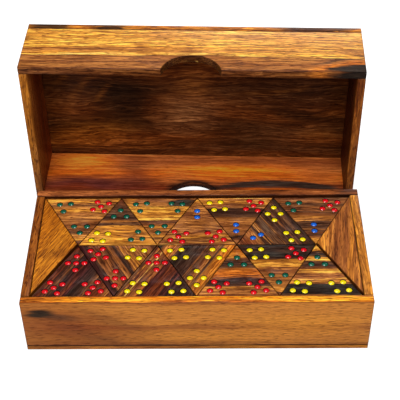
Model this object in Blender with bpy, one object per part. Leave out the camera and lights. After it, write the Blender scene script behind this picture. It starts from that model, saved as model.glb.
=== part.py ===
"""A set of 56 three-cornered dominoes in a hardwood tray, with its deep lift-off lid standing behind.

Metres, +Z up. X runs along the tray, Y runs from its front board to its back board, and the
origin is the centre of the tray's underside. The tiles lie in four layers, each of two rows of
seven, and a filler block at each end squares off the rows' slanting ends. The lid slides down
over the whole tray. Here it stands on one long wall behind the tray, its open side to the front.
"""

import itertools
import math

import bmesh
import bpy
from mathutils import Matrix, Vector

# Tiles
TILE_SIDE = 0.0529
TILE_THICKNESS = 0.0100
TILE_GAP = 0.0005  # between the faces of two tiles that lie side by side
LAYER_GAP = 0.0003  # between two layers, and under the lowest
LAYERS = 4
HIGHEST_NUMBER = 5

# Pips: shallow drilled hollows, in a group near each corner of a tile
PIP_RADIUS = 0.0019
PIP_DEPTH = 0.0008
PIP_SIDES = 6
PIP_GROUP_FROM_CORNER = 0.0158
PIP_HALF_LENGTH = 0.0063  # from a group's centre to its end pips, along the line to the corner
PIP_HALF_WIDTH = 0.0045  # from a group's centre to its side pips, across that line
PIP_HALF_WIDTH_OF_FIVE = 0.0055  # the same where a fifth pip lies in the middle

# The lowest layer's tiles are joined in two rows by a thin sheet inside them
WEB_BOTTOM = 0.0010
WEB_TOP = 0.0025
WEB_INSET = 0.0020

# Tray
TRAY_WALL = 0.0060
TRAY_BOTTOM = 0.0040
END_CLEARANCE = 0.00045  # between a filler block and an end board
SIDE_CLEARANCE = 0.00095  # between a row of tiles and a long board
RIM_ABOVE_TILES = 0.0016
FILLER_GAP = 0.0007  # between a filler block and the tiles

# Lid
LID_WALL = 0.0058
LID_TOP = 0.0057
LID_END_CLEARANCE = 0.0011
LID_SIDE_CLEARANCE = 0.0030
LID_TOP_CLEARANCE = 0.0013
NOTCH_RADIUS = 0.0213
NOTCH_CENTRE_OUT = 0.0043  # how far outside the open edge the notch's centre lies
NOTCH_STEPS = 20

# How the lid stands behind the tray
LID_BEHIND_TRAY = 0.0374
LID_SHIFT = -0.0037
LID_TURN = math.radians(-2.0)

GLUE_GAP = 0.0003
EDGE_EASE = 0.0006

# What follows is worked out from the values above.
GRID = TILE_SIDE + math.sqrt(3) * TILE_GAP
ROW_DEPTH = GRID * math.sqrt(3) / 2
TILES_LONG = 4
INNER_WIDTH = TILES_LONG * GRID + 2 * END_CLEARANCE
INNER_DEPTH = 2 * ROW_DEPTH + 2 * SIDE_CLEARANCE
TRAY_WIDTH = INNER_WIDTH + 2 * TRAY_WALL
TRAY_DEPTH = INNER_DEPTH + 2 * TRAY_WALL
LAYER_PITCH = TILE_THICKNESS + LAYER_GAP
TRAY_HEIGHT = TRAY_BOTTOM + LAYERS * LAYER_PITCH + RIM_ABOVE_TILES
LID_LENGTH = TRAY_WIDTH + 2 * LID_END_CLEARANCE + 2 * LID_WALL
LID_BREADTH = TRAY_DEPTH + 2 * LID_SIDE_CLEARANCE + 2 * LID_WALL
LID_WALL_HEIGHT = TRAY_HEIGHT + LID_TOP_CLEARANCE
LID_HEIGHT = LID_WALL_HEIGHT + LID_TOP

# Numbers on the top layer's tiles, from left to right, each as (point, left corner, right corner)
TOP_BACK_ROW = (
    (3, 3, 5), (3, 4, 3), (3, 3, 3), (2, 5, 5), (2, 4, 5), (4, 2, 4), (2, 3, 5),
)
TOP_FRONT_ROW = (
    (5, 5, 5), (5, 5, 4), (5, 4, 4), (4, 4, 4), (3, 5, 5), (3, 4, 5), (3, 4, 4),
)

# Name: base colour, roughness
WOODS = {
    "tray_wood": ((0.300, 0.125, 0.045), 0.38),
    "filler_wood": ((0.420, 0.200, 0.075), 0.38),
    "lid_wood": ((0.360, 0.150, 0.040), 0.36),
    "tile_wood": ((0.190, 0.080, 0.035), 0.34),
}


def clear_scene():
    """Removes every object of the scene that the script starts in."""
    for obj in list(bpy.data.objects):
        bpy.data.objects.remove(obj, do_unlink=True)


def wood(name):
    """The material of this name, made on its first use."""
    found = bpy.data.materials.get(name)
    if found:
        return found
    colour, roughness = WOODS[name]
    made = bpy.data.materials.new(name)
    made.use_nodes = True
    shader = made.node_tree.nodes["Principled BSDF"]
    shader.inputs["Base Color"].default_value = (*colour, 1.0)
    shader.inputs["Roughness"].default_value = roughness
    shader.inputs["Metallic"].default_value = 0.0
    return made


def add_object(name, bm, material, parent=None):
    """Turns a bmesh into an object of the scene, with its faces pointing out."""
    bmesh.ops.recalc_face_normals(bm, faces=bm.faces)
    mesh = bpy.data.meshes.new(name)
    bm.to_mesh(mesh)
    bm.free()
    mesh.shade_smooth()
    mesh.set_sharp_from_angle(angle=math.radians(30))
    mesh.materials.append(wood(material))
    obj = bpy.data.objects.new(name, mesh)
    bpy.context.scene.collection.objects.link(obj)
    obj.parent = parent
    return obj


def ease_edges(obj):
    """Takes the sharpness off a board's edges."""
    bevel = obj.modifiers.new("eased edges", "BEVEL")
    bevel.width = EDGE_EASE
    bevel.segments = 1
    bevel.limit_method = "ANGLE"
    bevel.angle_limit = math.radians(60)
    return obj


def board(name, low, high, material, parent=None):
    """A plain board that fills the box from the corner low to the corner high."""
    bm = bmesh.new()
    bmesh.ops.create_cube(bm, size=1.0)
    size = [b - a for a, b in zip(low, high)]
    bmesh.ops.scale(bm, vec=Vector(size), verts=bm.verts)
    obj = add_object(name, bm, material, parent)
    obj.location = [(a + b) / 2 for a, b in zip(low, high)]
    return ease_edges(obj)


def prism(outline, thickness):
    """A bmesh of a flat outline in XY, raised from z = 0 to the thickness."""
    bm = bmesh.new()
    face = bm.faces.new([bm.verts.new((x, y, 0.0)) for x, y in outline])
    raised = bmesh.ops.extrude_face_region(bm, geom=[face])["geom"]
    top = [item for item in raised if isinstance(item, bmesh.types.BMVert)]
    bmesh.ops.translate(bm, vec=(0.0, 0.0, thickness), verts=top)
    return bm


def inset_outline(outline, distance):
    """A convex outline, anticlockwise, with each side moved in by the distance."""
    sides = []
    for (ax, ay), (bx, by) in zip(outline, outline[1:] + outline[:1]):
        along = Vector((bx - ax, by - ay)).normalized()
        inward = Vector((-along.y, along.x))
        sides.append((Vector((ax, ay)) + inward * distance, along))
    moved = []
    for (a, u), (b, v) in zip(sides[-1:] + sides[:-1], sides):
        step = (b - a).cross(v) / u.cross(v)
        moved.append(tuple(a + u * step))
    return moved


def build_tray():
    """The tray's four walls on its bottom board."""
    x, y = TRAY_WIDTH / 2, TRAY_DEPTH / 2
    foot = TRAY_BOTTOM + GLUE_GAP
    board("tray_bottom", (-x, -y, 0.0), (x, y, TRAY_BOTTOM), "tray_wood")
    board("tray_front_wall", (-x, -y, foot), (x, TRAY_WALL - y, TRAY_HEIGHT), "tray_wood")
    board("tray_back_wall", (-x, y - TRAY_WALL, foot), (x, y, TRAY_HEIGHT), "tray_wood")
    end = y - TRAY_WALL - GLUE_GAP
    board("tray_left_wall", (-x, -end, foot), (TRAY_WALL - x, end, TRAY_HEIGHT), "tray_wood")
    board("tray_right_wall", (x - TRAY_WALL, -end, foot), (x, end, TRAY_HEIGHT), "tray_wood")


def build_fillers():
    """The blocks that fill the triangles between the rows' slanting ends and the end boards."""
    point = (TILES_LONG - 1) / 2 * GRID + 2 / math.sqrt(3) * (FILLER_GAP - TILE_GAP / 2)
    wall_side = INNER_WIDTH / 2 - GLUE_GAP
    half_depth = (wall_side - point) * math.sqrt(3)
    limit = INNER_DEPTH / 2 - GLUE_GAP
    flat = wall_side - max(0.0, half_depth - limit) / math.sqrt(3)
    half_depth = min(half_depth, limit)
    for name, side in (("filler_left", -1), ("filler_right", 1)):
        outline = [
            (side * point, 0.0),
            (side * flat, -half_depth),
            (side * wall_side, -half_depth),
            (side * wall_side, half_depth),
            (side * flat, half_depth),
        ]
        foot = TRAY_BOTTOM + GLUE_GAP
        block = add_object(name, prism(outline, TRAY_HEIGHT - foot), "filler_wood")
        block.location.z = foot
        ease_edges(block)


def notched_outline():
    """A long lid wall's outline in its own X and Y, its open edge on y = 0, with the notch in it."""
    half = LID_LENGTH / 2
    spread = math.asin(NOTCH_CENTRE_OUT / NOTCH_RADIUS)
    arc = []
    for step in range(NOTCH_STEPS + 1):
        angle = math.pi - spread - (math.pi - 2 * spread) * step / NOTCH_STEPS
        arc.append(
            (NOTCH_RADIUS * math.cos(angle), NOTCH_RADIUS * math.sin(angle) - NOTCH_CENTRE_OUT)
        )
    return [(-half, 0.0), *arc, (half, 0.0), (half, LID_WALL_HEIGHT), (-half, LID_WALL_HEIGHT)]


def build_lid():
    """The lid, standing on a long wall, on an empty that sets its place behind the tray."""
    stand = bpy.data.objects.new("lid_stand", None)
    bpy.context.scene.collection.objects.link(stand)
    stand.location = (LID_SHIFT, TRAY_DEPTH / 2 + LID_BEHIND_TRAY, 0.0)
    stand.rotation_euler.z = LID_TURN
    for name, foot in (("lid_lower_wall", 0.0), ("lid_upper_wall", LID_BREADTH - LID_WALL)):
        wall = add_object(name, prism(notched_outline(), LID_WALL), "lid_wood", stand)
        wall.location.z = foot
        ease_edges(wall)
    x = LID_LENGTH / 2
    low, high = LID_WALL + GLUE_GAP, LID_BREADTH - LID_WALL - GLUE_GAP
    left = ((-x, 0.0, low), (LID_WALL - x, LID_WALL_HEIGHT, high))
    right = ((x - LID_WALL, 0.0, low), (x, LID_WALL_HEIGHT, high))
    top = ((-x, LID_WALL_HEIGHT + GLUE_GAP, 0.0), (x, LID_HEIGHT, LID_BREADTH))
    board("lid_left_wall", *left, "lid_wood", stand)
    board("lid_right_wall", *right, "lid_wood", stand)
    board("lid_top", *top, "lid_wood", stand)


def pip_places(number):
    """Where a number's pips lie in its group: (towards the corner, across), from the group's centre."""
    length, width, wide = PIP_HALF_LENGTH, PIP_HALF_WIDTH, PIP_HALF_WIDTH_OF_FIVE
    return {
        0: [],
        1: [(0.0, 0.0)],
        2: [(length / 2, 0.0), (-length / 2, 0.0)],
        3: [(length * 2 / 3, 0.0), (-length / 3, width), (-length / 3, -width)],
        4: [(length, 0.0), (0.0, width), (0.0, -width), (-length, 0.0)],
        5: [(length, 0.0), (0.0, wide), (0.0, 0.0), (0.0, -wide), (-length, 0.0)],
    }[number]


def pip_centres(numbers):
    """Every pip's centre on a tile whose point faces +Y, for its (point, left, right) numbers."""
    reach = TILE_SIDE / math.sqrt(3) - PIP_GROUP_FROM_CORNER
    centres = []
    for number, degrees in zip(numbers, (90, 210, 330)):
        turn = Matrix.Rotation(math.radians(degrees), 2)
        centres += [turn @ Vector((reach + x, y)) for x, y in pip_places(number)]
    return centres


def ring(bm, centre, radius, sides, z):
    """A loop of edges round a centre, and its points."""
    points = []
    for step in range(sides):
        angle = 2 * math.pi * step / sides
        offset = Vector((math.cos(angle), math.sin(angle))) * radius
        points.append(bm.verts.new((centre[0] + offset.x, centre[1] + offset.y, z)))
    edges = [bm.edges.new(pair) for pair in zip(points, points[1:] + points[:1])]
    return points, edges


def tile_bmesh(numbers):
    """A tile on z = 0 with its point towards +Y, and a hollow for each pip in its top face."""
    bm = bmesh.new()
    _, outline = ring(bm, (0.0, 0.0), TILE_SIDE / math.sqrt(3), 3, TILE_THICKNESS)
    bmesh.ops.rotate(bm, matrix=Matrix.Rotation(math.pi / 2, 3, "Z"), verts=bm.verts)
    edges = list(outline)
    hollows = []
    for centre in pip_centres(numbers):
        points, rim = ring(bm, centre, PIP_RADIUS, PIP_SIDES, TILE_THICKNESS)
        edges += rim
        hollows.append((centre, points))
    bmesh.ops.triangle_fill(bm, edges=edges, use_beauty=True, normal=(0.0, 0.0, 1.0))
    for centre, points in hollows:
        bottom = bm.verts.new((centre[0], centre[1], TILE_THICKNESS - PIP_DEPTH))
        for a, b in zip(points, points[1:] + points[:1]):
            bm.faces.new((a, b, bottom))
    sides = bmesh.ops.extrude_edge_only(bm, edges=outline)["geom"]
    foot = [item for item in sides if isinstance(item, bmesh.types.BMVert)]
    bmesh.ops.translate(bm, vec=(0.0, 0.0, -TILE_THICKNESS), verts=foot)
    bm.faces.new(foot)
    return bm


def places():
    """Each place in a layer as (row, x, y, upright), the back row first, both from the left."""
    for row, side in (("back", 1), ("front", -1)):
        for index in range(2 * TILES_LONG - 1):
            x = (index / 2 - (TILES_LONG - 1) / 2) * GRID
            outer = index % 2 == 0
            y = side * ROW_DEPTH * (2 if outer else 1) / 3
            yield row, x, y, outer == (side < 0)


def layers():
    """The numbers on each layer's tiles in the order of places(), the lowest layer first."""
    top = TOP_BACK_ROW + TOP_FRONT_ROW
    seen = {tuple(sorted(numbers)) for numbers in top}
    every = itertools.combinations_with_replacement(range(HIGHEST_NUMBER + 1), 3)
    rest = sorted((tile for tile in every if tile not in seen), key=lambda t: (sum(t), t))
    below = [tuple(rest[start:start + len(top)]) for start in range(0, len(rest), len(top))]
    return [*below, top]


def tile_name(numbers):
    """A tile's name, from its numbers in rising order."""
    return "tile_" + "_".join(str(number) for number in sorted(numbers))


def place_tile(numbers, upright):
    """A tile's bmesh turned as it lies, its numbers read from the left as (point, left, right)."""
    point, left, right = numbers
    if upright:
        return tile_bmesh((point, left, right))
    bm = tile_bmesh((point, right, left))
    bmesh.ops.rotate(bm, matrix=Matrix.Rotation(math.pi, 3, "Z"), verts=bm.verts)
    return bm


def build_lowest_layer(tiles, z):
    """The lowest layer as two rows, each of seven tiles held together by a sheet inside them."""
    for row, side in (("back", 1), ("front", -1)):
        far, near = TILES_LONG / 2 * GRID, (TILES_LONG - 1) / 2 * GRID
        outline = [(-far, ROW_DEPTH), (-near, 0.0), (near, 0.0), (far, ROW_DEPTH)]
        sheet = prism(inset_outline(outline, WEB_INSET), WEB_TOP - WEB_BOTTOM)
        bmesh.ops.translate(sheet, vec=(0.0, 0.0, WEB_BOTTOM), verts=sheet.verts)
        if side < 0:
            bmesh.ops.rotate(sheet, matrix=Matrix.Rotation(math.pi, 3, "Z"), verts=sheet.verts)
        joined = add_object(f"lowest_{row}_row", sheet, "tile_wood")
        joined.location.z = z
        for (tile_row, x, y, upright), numbers in zip(places(), tiles):
            if tile_row != row:
                continue
            helper = "helper_" + tile_name(numbers)
            tile = add_object(helper, place_tile(numbers, upright), "tile_wood")
            tile.location = (x, y, z)
            tile.hide_render = True
            tile.display_type = "WIRE"
            union = joined.modifiers.new(helper, "BOOLEAN")
            union.operation = "UNION"
            union.object = tile


def build_tiles():
    """All four layers: the lowest as two joined rows, and every tile above it by itself."""
    lowest, *above = layers()
    foot = TRAY_BOTTOM + LAYER_GAP
    build_lowest_layer(lowest, foot)
    for level, tiles in enumerate(above, start=1):
        for (_, x, y, upright), numbers in zip(places(), tiles):
            tile = add_object(tile_name(numbers), place_tile(numbers, upright), "tile_wood")
            tile.location = (x, y, foot + level * LAYER_PITCH)


def main():
    clear_scene()
    build_tray()
    build_fillers()
    build_lid()
    build_tiles()


main()
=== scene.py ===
"""Looks of a three-cornered domino set: 56 triangular tiles in a hardwood tray, with its deep lid behind.

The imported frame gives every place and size. Each sub-assembly is a class that builds its own pieces
around the frame: Tray, Lid and TileSet. Carpenter holds the mesh work that they share, and
Finisher turns a Plank or a Paint into a material. Studio makes the floor, the lights and the camera.
Metres, +Z up, X along the tray, Y from the tray's front board towards the lid. The bands and marks
of a wood's figure are in millimetres.
"""

from __future__ import annotations

import itertools
import logging
import math
import random
from dataclasses import dataclass, replace
from enum import Enum
from typing import Any, Iterable, Iterator, Sequence

import bmesh
import bpy
from mathutils import Matrix, Vector

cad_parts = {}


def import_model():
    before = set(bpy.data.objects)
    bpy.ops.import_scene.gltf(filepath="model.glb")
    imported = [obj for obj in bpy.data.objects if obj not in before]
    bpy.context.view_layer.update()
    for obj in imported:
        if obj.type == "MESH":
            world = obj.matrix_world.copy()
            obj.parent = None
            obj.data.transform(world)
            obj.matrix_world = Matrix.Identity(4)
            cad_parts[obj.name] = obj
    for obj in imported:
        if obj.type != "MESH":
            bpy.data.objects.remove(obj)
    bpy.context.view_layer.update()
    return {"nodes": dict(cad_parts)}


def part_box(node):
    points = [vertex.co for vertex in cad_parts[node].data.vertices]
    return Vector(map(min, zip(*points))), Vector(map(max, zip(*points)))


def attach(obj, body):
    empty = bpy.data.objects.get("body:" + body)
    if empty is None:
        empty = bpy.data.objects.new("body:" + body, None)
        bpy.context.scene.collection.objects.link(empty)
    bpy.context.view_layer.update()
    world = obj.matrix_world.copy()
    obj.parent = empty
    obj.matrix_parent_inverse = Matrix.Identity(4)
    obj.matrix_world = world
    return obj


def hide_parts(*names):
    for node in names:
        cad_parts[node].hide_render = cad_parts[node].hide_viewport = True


log = logging.getLogger("domino_box")

Triple = tuple[float, float, float]
Numbers = tuple[int, ...]
Bands = tuple[tuple[float, "Tone"], ...]
Socket = bpy.types.NodeSocket
Node = bpy.types.Node
Tree = bpy.types.NodeTree
Material = bpy.types.Material
Mesh = bmesh.types.BMesh
Face = bmesh.types.BMFace

LID_TURN = math.radians(-2.0)
CORNERS = (90, 210, 330)
SQRT3 = math.sqrt(3.0)
MM = 0.001
NEAR = 0.1 * MM
WHITE = (1.0, 1.0, 1.0, 1.0)
ORIGIN = (0.0, 0.0, 0.0)
UP = (0.0, 0.0, 1.0)
ACROSS_X = ((0.0, 1.0, 0.0), UP, (1.0, 0.0, 0.0))
LYING = ((1.0, 0.0, 0.0), (0.0, 1.0, 0.0), UP)
UPRIGHT = (UP, (0.0, 1.0, 0.0), (1.0, 0.0, 0.0))
STANDING = ((1.0, 0.0, 0.0), UP, (0.0, 1.0, 0.0))


class Tone(Enum):
    """The wood tones of the set, as linear colours."""

    STRAW = (0.880, 0.470, 0.095)
    HONEY = (0.710, 0.290, 0.036)
    GOLD = (0.560, 0.195, 0.020)
    FLAME = (0.720, 0.250, 0.010)
    AMBER = (0.520, 0.120, 0.008)
    TAN = (0.345, 0.112, 0.021)
    FAWN = (0.345, 0.150, 0.062)
    CHESTNUT = (0.215, 0.059, 0.013)
    RUSSET = (0.140, 0.025, 0.006)
    WALNUT = (0.108, 0.037, 0.013)
    UMBER = (0.052, 0.018, 0.009)
    PLUM = (0.056, 0.012, 0.010)
    SLATE = (0.034, 0.024, 0.016)
    EBONY = (0.018, 0.009, 0.005)


STRAW, HONEY, GOLD, FLAME, AMBER, TAN, FAWN, CHESTNUT, RUSSET, WALNUT, UMBER, PLUM, SLATE, EBONY = Tone


class Slot(Enum):
    """The record's material slots."""

    TRAY = "tray_wood"
    FILLER = "filler_wood"
    LID = "lid_wood"
    TILE = "tile_wood"


class Cut(Enum):
    """The way a tile's grain runs, in degrees from X."""

    LEVEL = 0.0
    RISING = 60.0
    FALLING = -60.0


@dataclass(frozen=True)
class Grain:
    """How a piece was cut: the directions along, across and through its grain, about an origin."""

    along: Triple = STANDING[0]
    across: Triple = STANDING[1]
    through: Triple = STANDING[2]
    origin: Triple = ORIGIN

    @classmethod
    def level(cls, angle: float, origin: Triple) -> Grain:
        """Grain that runs level, at an angle from X."""
        sine, cosine = math.sin(angle), math.cos(angle)
        return cls((cosine, sine, 0.0), (-sine, cosine, 0.0), UP, origin)

    def turned(self, angle: float) -> Grain:
        """The same grain on a piece that is turned by an angle about the vertical axis."""
        turn = Matrix.Rotation(angle, 3, "Z")
        parts = (self.along, self.across, self.through, self.origin)
        return Grain(*(tuple(turn @ Vector(part)) for part in parts))


@dataclass(frozen=True)
class Mark:
    """A soft-edged oval of another tone, such as a knot, a stain or a dark vein.

    Centre and reach are millimetres along and across the grain from its origin, the turn is degrees,
    and the bend is how fast the oval curves away from a straight line.
    """

    tone: Tone
    centre: tuple[float, float]
    reach: tuple[float, float]
    strength: float
    softness: float = 0.9
    turn: float = 0.0
    bend: float = 0.0


@dataclass(frozen=True)
class Plank:
    """The figure of one piece of wood: its bands of tone, its marks and how strongly its grain shows."""

    name: str
    bands: Bands
    marks: tuple[Mark, ...] = ()
    stain: Triple = (1.0, 1.0, 1.0)
    waviness: float = 1.0
    streaks: float = 0.5
    fine: float = 0.5
    pores: float = 0.5
    flecks: float = 0.0
    seed: float = 0.0


@dataclass(frozen=True)
class TileFigure:
    """A tile's cut and figure, with its bands in millimetres from its centre."""

    cut: Cut
    bands: Bands
    marks: tuple[Mark, ...] = ()
    waviness: float = 0.45
    flecks: float = 0.22


@dataclass(frozen=True)
class Paint:
    """The enamel in the hollows of one number."""

    name: str
    colour: Triple


def bands(*steps: Any) -> Bands:
    """Pairs up places across the grain, in rising order, and their tones."""
    return tuple(zip(steps[::2], steps[1::2]))


PAINTS: dict[int, Paint] = {
    1: Paint("white_enamel", (0.80, 0.77, 0.70)),
    2: Paint("blue_enamel", (0.010, 0.130, 0.640)),
    3: Paint("green_enamel", (0.002, 0.110, 0.060)),
    4: Paint("yellow_enamel", (1.000, 0.790, 0.002)),
    5: Paint("red_enamel", (0.780, 0.004, 0.010)),
}

WOODS: dict[str, Plank] = {
    "tray_front_wall": Plank(
        "front_board",
        bands(
            # The umber band from 3.8 to 4.6 mm is a painted shadow line along the seam with the bottom
            # board.
            0, GOLD, 3.2, TAN, 3.8, UMBER, 4.6, CHESTNUT, 9, TAN, 18, TAN, 22, CHESTNUT, 27, TAN, 38, TAN,
            45.5, TAN, 47, CHESTNUT,
        ),
        (
            Mark(RUSSET, (-90, 24), (84, 34), 0.8, 0.9, -10),
            Mark(CHESTNUT, (-112, 22), (26, 30), 0.5),
            Mark(UMBER, (-66, 11), (50, 9), 0.32, 0.98, -26),
            Mark(UMBER, (-56, 30), (44, 6), 0.3, 0.98, -28),
            Mark(GOLD, (66, 26), (66, 15), 0.35, 0.98),
            Mark(GOLD, (10, 12), (70, 9), 0.2, 0.98),
            Mark(UMBER, (-92, 33), (24, 5), 0.8, 0.9, -6),
            Mark(EBONY, (-102, 36), (13.5, 6.5), 0.98, 0.65, 6),
        ),
        stain=(1.88, 2.1, 1.9), waviness=0.45, streaks=0.06, fine=0.15, pores=0.7, seed=1,
    ),
    "tray_back_wall": Plank(
        "back_board",
        bands(0, CHESTNUT, 20, RUSSET, 36, CHESTNUT, 47, CHESTNUT),
        (
            Mark(TAN, (20, 46.5), (50, 8), 0.7, 0.8),
            Mark(UMBER, (106, 46.5), (14, 8), 0.7, 0.8),
        ),
        stain=(1.1, 1, 1), streaks=0.7, pores=0.8, seed=2,
    ),
    "tray_left_wall": Plank(
        "left_end_board",
        bands(0, TAN, 14, CHESTNUT, 30, TAN, 41, CHESTNUT, 44, TAN, 45.5, AMBER, 47, AMBER),
        stain=(1, 0.88, 0.45), pores=1, seed=3,
    ),
    "tray_right_wall": Plank(
        "right_end_board",
        bands(0, TAN, 14, GOLD, 30, CHESTNUT, 42, GOLD, 47, GOLD),
        streaks=0.8, pores=0.8, seed=4,
    ),
    "tray_bottom": Plank(
        "bottom_board",
        bands(-55, GOLD, -50, TAN, -30, CHESTNUT, 0, TAN, 25, WALNUT, 55, TAN),
        seed=5,
    ),
    "front_rim": Plank(
        "front_rim",
        bands(-1, CHESTNUT, 0.6, AMBER, 2, GOLD, 3.4, AMBER, 5, GOLD, 7, CHESTNUT),
        (
            Mark(RUSSET, (-108, 3), (40, 9), 0.75),
            Mark(CHESTNUT, (34, 2), (34, 2.4), 0.6),
            Mark(CHESTNUT, (-46, 4), (26, 1.6), 0.6),
            Mark(HONEY, (84, 3), (40, 2), 0.5),
        ),
        stain=(1.75, 1.8, 0.9), waviness=0.4, streaks=0.35, fine=0.7, pores=1, flecks=0.2, seed=6,
    ),
    "filler_left": Plank(
        "left_filler_block",
        bands(-50, TAN, -30, GOLD, -12, HONEY, 2, GOLD, 14, GOLD, 24, TAN, 50, CHESTNUT),
        (Mark(CHESTNUT, (0, -20), (30, 7), 0.5, 0.9, -60),),
        stain=(0.74, 0.58, 0.22), waviness=0.3, streaks=0.22, pores=1.2, seed=7,
    ),
    "filler_right": Plank(
        "right_filler_block",
        bands(-2, TAN, 3, GOLD, 6, CHESTNUT, 9, TAN, 13, CHESTNUT, 17, TAN, 28, GOLD),
        stain=(0.92, 0.84, 0.72), waviness=0.5, streaks=0.75, pores=0.9, seed=8,
    ),
    "lid_upper_wall": Plank(
        "lid_upper_long_board",
        bands(
            -1, CHESTNUT, 3, TAN, 8, CHESTNUT, 13, TAN, 16, CHESTNUT, 18, HONEY, 20, GOLD, 23, TAN,
            26, GOLD, 32, HONEY, 40, GOLD, 45, HONEY, 50, GOLD,
        ),
        (
            Mark(CHESTNUT, (-75, 7), (60, 8), 0.15, 0.95, 2),
            Mark(HONEY, (70, 20), (70, 10), 0.3, 0.95),
            Mark(GOLD, (76, 38), (84, 16), 0.75, 0.95),
            Mark(GOLD, (0, 38), (50, 13), 0.45, 0.95),
            Mark(STRAW, (-2, 19), (38, 1.8), 0.9, 0.8, -2),
            Mark(STRAW, (-80, 18.5), (50, 1.6), 0.6, 0.9, 1),
            Mark(CHESTNUT, (96, 14), (46, 2.6), 0.7, 0.8, 14),
            Mark(AMBER, (103, 7), (32, 6), 0.8, 0.7, 16),
            Mark(UMBER, (104, 14.6), (34, 1.6), 0.8, 0.7, 15),
            Mark(EBONY, (107, 4.8), (17, 4.8), 0.97, 0.35, 8),
            Mark(EBONY, (124, 4.2), (26, 7.2), 0.99, 0.22, 4),
        ),
        stain=(1.02, 1.06, 1.08), waviness=0.55, streaks=0.42, fine=0.85, pores=1, flecks=0.55, seed=11,
    ),
    "lid_lower_wall": Plank(
        "lid_lower_long_board",
        bands(-1, CHESTNUT, 8, RUSSET, 15, CHESTNUT, 24, AMBER, 33, TAN, 41, CHESTNUT, 49, TAN),
        (
            Mark(AMBER, (-90, 38), (38, 16), 0.9, 0.7),
            Mark(GOLD, (-90, 38), (32, 11), 0.75, 0.8),
            Mark(PLUM, (-84, 13), (58, 13), 0.9, 0.8),
            Mark(RUSSET, (-92, 8), (24, 7), 0.8, 0.8),
            Mark(PLUM, (-46, 22), (21, 30), 0.6, 0.95, 20),
            Mark(AMBER, (34, 31), (86, 10), 0.95, 0.85),
            Mark(FLAME, (28, 31), (60, 6), 0.45),
            Mark(TAN, (-12, 20), (20, 16), 0.5, 0.95),
            Mark(TAN, (98, 26), (30, 14), 0.6, 0.95),
            Mark(SLATE, (66, 15.5), (70, 6.4), 0.98, 0.45, -1, -3.2),
            Mark(EBONY, (0, 2), (26, 19), 0.75, 0.25),
            Mark(AMBER, (60, 8), (34, 3.4), 0.8, 0.8),
        ),
        stain=(1.95, 1.62, 1.75), waviness=0.6, streaks=0.35, fine=0.45, seed=12,
    ),
    "lid_left_wall": Plank(
        "lid_left_end_board",
        bands(-1, GOLD, 3, TAN, 12, CHESTNUT, 30, RUSSET, 49, CHESTNUT),
        stain=(1.34, 1.32, 1.05), pores=0.9, seed=13,
    ),
    "lid_right_wall": Plank(
        "lid_right_end_board",
        bands(-1, CHESTNUT, 2, TAN, 6, CHESTNUT, 30, RUSSET, 49, RUSSET),
        stain=(1.05, 0.9, 0.6), pores=0.9, seed=14,
    ),
    "lid_top": Plank(
        "lid_top_panel",
        bands(
            0, CHESTNUT, 12, WALNUT, 24, CHESTNUT, 36, WALNUT, 50, CHESTNUT, 70, WALNUT, 90, CHESTNUT,
            108, TAN, 118, TAN, 125, GOLD,
        ),
        (
            Mark(EBONY, (-54, 58), (34, 40), 0.82, 0.8, 8),
            Mark(EBONY, (-104, 92), (30, 34), 0.6, 0.95, 40),
            Mark(TAN, (-84, 74), (30, 5), 0.45, 0.98, 52),
            Mark(TAN, (-97, 84), (30, 5), 0.45, 0.98, 50),
            Mark(TAN, (-71, 64), (22, 4), 0.4, 0.98, 56),
            Mark(GOLD, (-86, 28), (56, 18), 0.36, 0.95, 6),
            Mark(TAN, (-44, 18), (40, 8), 0.5, 0.95),
            Mark(CHESTNUT, (-8, 52), (38, 30), 0.85, 0.95, 10),
            Mark(FAWN, (-6, 48), (34, 26), 0.7, 0.98, 10),
            Mark(TAN, (0, 74), (26, 22), 0.35, 0.98),
            Mark(EBONY, (46, 22), (56, 24), 0.75, 0.95),
            Mark(EBONY, (84, 50), (56, 9), 0.7, 0.9, -12),
            Mark(UMBER, (70, 76), (70, 30), 0.55, 0.95),
            Mark(TAN, (62, 70), (48, 4), 0.35, 0.9, 8, 3),
            Mark(TAN, (50, 88), (50, 3), 0.3, 0.9, 6, 3),
            Mark(TAN, (96, 30), (26, 12), 0.5, 0.9, -6),
            Mark(FAWN, (56, 24), (62, 20), 0.18, 0.98),
            Mark(EBONY, (-104, 123.5), (24, 5), 0.9, 0.6),
            Mark(GOLD, (-84, 123.5), (10, 5), 0.8, 0.6),
            Mark(EBONY, (-60, 123.5), (18, 5), 0.9, 0.6),
            Mark(UMBER, (90, 123.5), (40, 6), 0.85, 0.6),
        ),
        stain=(0.78, 0.66, 0.5), waviness=1.5, streaks=0.58, fine=0.8, pores=0.7, seed=15,
    ),
}

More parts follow.
